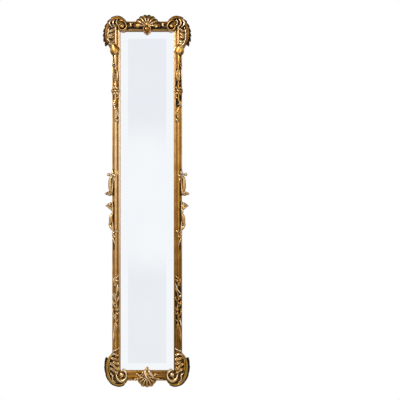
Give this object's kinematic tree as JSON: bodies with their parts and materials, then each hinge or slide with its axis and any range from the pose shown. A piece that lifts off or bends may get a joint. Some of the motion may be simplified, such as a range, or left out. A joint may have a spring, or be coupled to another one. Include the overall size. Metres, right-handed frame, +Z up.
{
  "type": "pier mirror",
  "caption": "Tall narrow bevelled mirror in a carved gilt frame, with a shell crest, scrolled corners and swinging D-rings on the back for hanging.",
  "frame": {"origin": "centre of the back panel's rear face, which is flush with the back of the frame", "axes": "+Z up along the long sides, +Y out of the back towards the wall, +X to the right as seen by someone who looks into the mirror"},
  "size_m": [0.3572, 0.0543, 1.4956],
  "materials": {
    "gilt_moulding": "gold leaf over bole and gesso, rubbed",
    "gilt_carving": "gold leaf over bole and gesso, burnished high points and toned hollows",
    "silvered_glass": "polished and silvered, bevelled edge",
    "plywood": "plain",
    "softwood": "sawn",
    "hardwood": "sawn",
    "zinc_steel": "zinc plated",
    "brass": "plain",
    "felt": "pressed"
  },
  "bodies": {
    "frame": {"stile_left": "gilt_moulding", "stile_right": "gilt_moulding", "rail_top": "gilt_moulding", "rail_bottom": "gilt_moulding", "corner_scroll_top_left": "gilt_carving", "mitre_key_top_left": "hardwood", "corner_scroll_top_right": "gilt_carving", "mitre_key_top_right": "hardwood", "corner_scroll_bottom_left": "gilt_carving", "mitre_key_bottom_left": "hardwood", "corner_scroll_bottom_right": "gilt_carving", "mitre_key_bottom_right": "hardwood", "crest_shell": "gilt_carving", "crest_pendant": "gilt_carving", "base_cartouche": "gilt_carving", "crest_leaf_left": "gilt_carving", "upper_carving_left": "gilt_carving", "lower_carving_left": "gilt_carving", "upper_sprig_left": "gilt_carving", "lower_sprig_left": "gilt_carving", "crest_leaf_right": "gilt_carving", "upper_carving_right": "gilt_carving", "lower_carving_right": "gilt_carving", "upper_sprig_right": "gilt_carving", "lower_sprig_right": "gilt_carving", "mirror_plate": "silvered_glass", "back_panel": "plywood", "setting_strip_top": "softwood", "setting_strip_bottom": "softwood", "setting_strip_left": "softwood", "setting_strip_right": "softwood", "panel_screw_1": "brass", "panel_screw_2": "brass", "panel_screw_3": "brass", "panel_screw_4": "brass", "panel_screw_5": "brass", "panel_screw_6": "brass", "panel_screw_7": "brass", "panel_screw_8": "brass", "panel_screw_9": "brass", "panel_screw_10": "brass", "hanger_strap_left": "zinc_steel", "hanger_screw_left_1": "zinc_steel", "hanger_screw_left_2": "zinc_steel", "wall_pad_left": "felt", "hanger_strap_right": "zinc_steel", "hanger_screw_right_1": "zinc_steel", "hanger_screw_right_2": "zinc_steel", "wall_pad_right": "felt"},
    "left_ring": {"hanger_ring_left": "zinc_steel"},
    "right_ring": {"hanger_ring_right": "zinc_steel"}
  },
  "joints": [
    {"name": "left_ring_swing", "type": "hinge", "parent": "frame", "child": "left_ring", "pos_m": [-0.1295, 0.0043, 0.4], "axis": [1, 0, 0], "range_deg": [0, 180]},
    {"name": "right_ring_swing", "type": "hinge", "parent": "frame", "child": "right_ring", "pos_m": [0.1295, 0.0043, 0.4], "axis": [1, 0, 0], "range_deg": [0, 180]}
  ]
}
